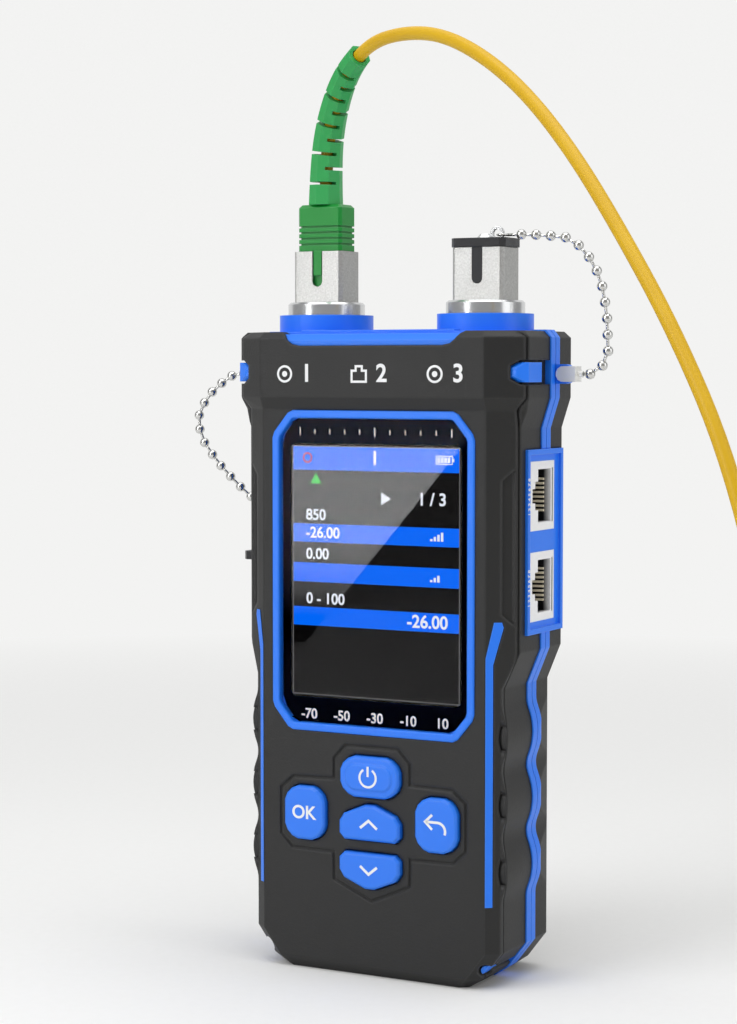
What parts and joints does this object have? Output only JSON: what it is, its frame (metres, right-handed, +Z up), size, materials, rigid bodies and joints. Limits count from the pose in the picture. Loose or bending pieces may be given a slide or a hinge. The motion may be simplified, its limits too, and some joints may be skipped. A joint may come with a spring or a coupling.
{
  "type": "optical power meter",
  "caption": "Hand-held optical power meter: waisted two-shell case with a display and keys, square fibre ports with chained dust caps, network jacks and a short patch lead in one port.",
  "frame": {"origin": "centre of the base, on the floor it stands on", "axes": "+X to the right seen from the front, +Y to the back, +Z up; the display faces -Y"},
  "size_m": [0.2363, 0.118, 0.2147],
  "materials": {
    "black_plastic": "fine matt grain",
    "blue_plastic": "satin",
    "glass": "polished, dark",
    "display": "polished",
    "key_plastic": "satin",
    "board": "solder resist",
    "battery": "foil pouch",
    "steel": "plain",
    "dome_steel": "plain",
    "white_plastic": "smooth",
    "gold": "plated",
    "chrome": "bright plating",
    "ceramic": "ground",
    "cap_rubber": "soft",
    "green_plastic": "smooth",
    "green_rubber": "soft",
    "cable": "smooth jacket",
    "black_small": "plain"
  },
  "bodies": {
    "meter": {"front_shell": "blue_plastic", "rear_shell": "blue_plastic", "port_plate": "blue_plastic", "front_cover": "black_plastic", "side_band": "black_plastic", "rear_cover": "black_plastic", "accent_strip_right": "blue_plastic", "accent_strip_left": "blue_plastic", "corner_tab_right": "blue_plastic", "corner_tab_left": "blue_plastic", "screen_bezel": "blue_plastic", "screen_glass": "glass", "display_module": "display", "dome_contacts": "dome_steel", "main_board": "board", "battery_pack": "battery", "buzzer": "black_small", "charging_socket": "steel", "case_screws": "steel", "side_bezel": "blue_plastic", "side_jack_lower": "white_plastic", "side_jack_upper": "white_plastic", "side_jack_contacts": "gold", "jack_board": "board", "top_jack": "white_plastic", "top_jack_contacts": "gold", "power_port_flange": "chrome", "laser_port_flange": "chrome", "power_port_adapter": "chrome", "laser_port_adapter": "chrome", "power_port_sleeve": "ceramic", "laser_port_sleeve": "ceramic", "detector_module": "steel", "laser_module": "steel", "laser_chain": "chrome", "laser_clamp": "chrome", "lead_plug": "green_plastic", "lead_ferrule": "ceramic", "lead_boot": "green_rubber", "lead_cable": "cable", "lead_coil": "cable", "lead_tail": "cable", "far_plug": "green_plastic", "far_ferrule": "ceramic", "far_boot": "green_rubber"},
    "power_button": {"power_key": "key_plastic"},
    "ok_button": {"ok_key": "key_plastic"},
    "back_button": {"back_key": "key_plastic"},
    "up_button": {"up_key": "key_plastic"},
    "down_button": {"down_key": "key_plastic"},
    "laser_cap": {"laser_cap": "cap_rubber", "laser_cap_ring": "chrome"},
    "power_tether": {"power_clamp": "chrome", "power_chain": "chrome", "power_cap": "cap_rubber", "power_cap_ring": "chrome"}
  },
  "joints": [
    {"name": "power_press", "type": "slide", "parent": "meter", "child": "power_button", "axis": [0, 1, 0], "range_m": [0, 0.0007], "stiffness_N_per_m": 300},
    {"name": "ok_press", "type": "slide", "parent": "meter", "child": "ok_button", "axis": [0, 1, 0], "range_m": [0, 0.0007], "stiffness_N_per_m": 300},
    {"name": "back_press", "type": "slide", "parent": "meter", "child": "back_button", "axis": [0, 1, 0], "range_m": [0, 0.0007], "stiffness_N_per_m": 300},
    {"name": "up_press", "type": "slide", "parent": "meter", "child": "up_button", "axis": [0, 1, 0], "range_m": [0, 0.0007], "stiffness_N_per_m": 300},
    {"name": "down_press", "type": "slide", "parent": "meter", "child": "down_button", "axis": [0, 1, 0], "range_m": [0, 0.0007], "stiffness_N_per_m": 300},
    {"name": "laser_cap_pull", "type": "slide", "parent": "meter", "child": "laser_cap", "axis": [0, 0, 1], "range_m": [0, 0.012], "deforming": ["laser_chain"]},
    {"name": "power_tether_swing", "type": "hinge", "parent": "meter", "child": "power_tether", "pos_m": [-0.0394, 0.0038, 0.1379], "axis": [0, 1, 0], "range_deg": [0, 60]}
  ]
}
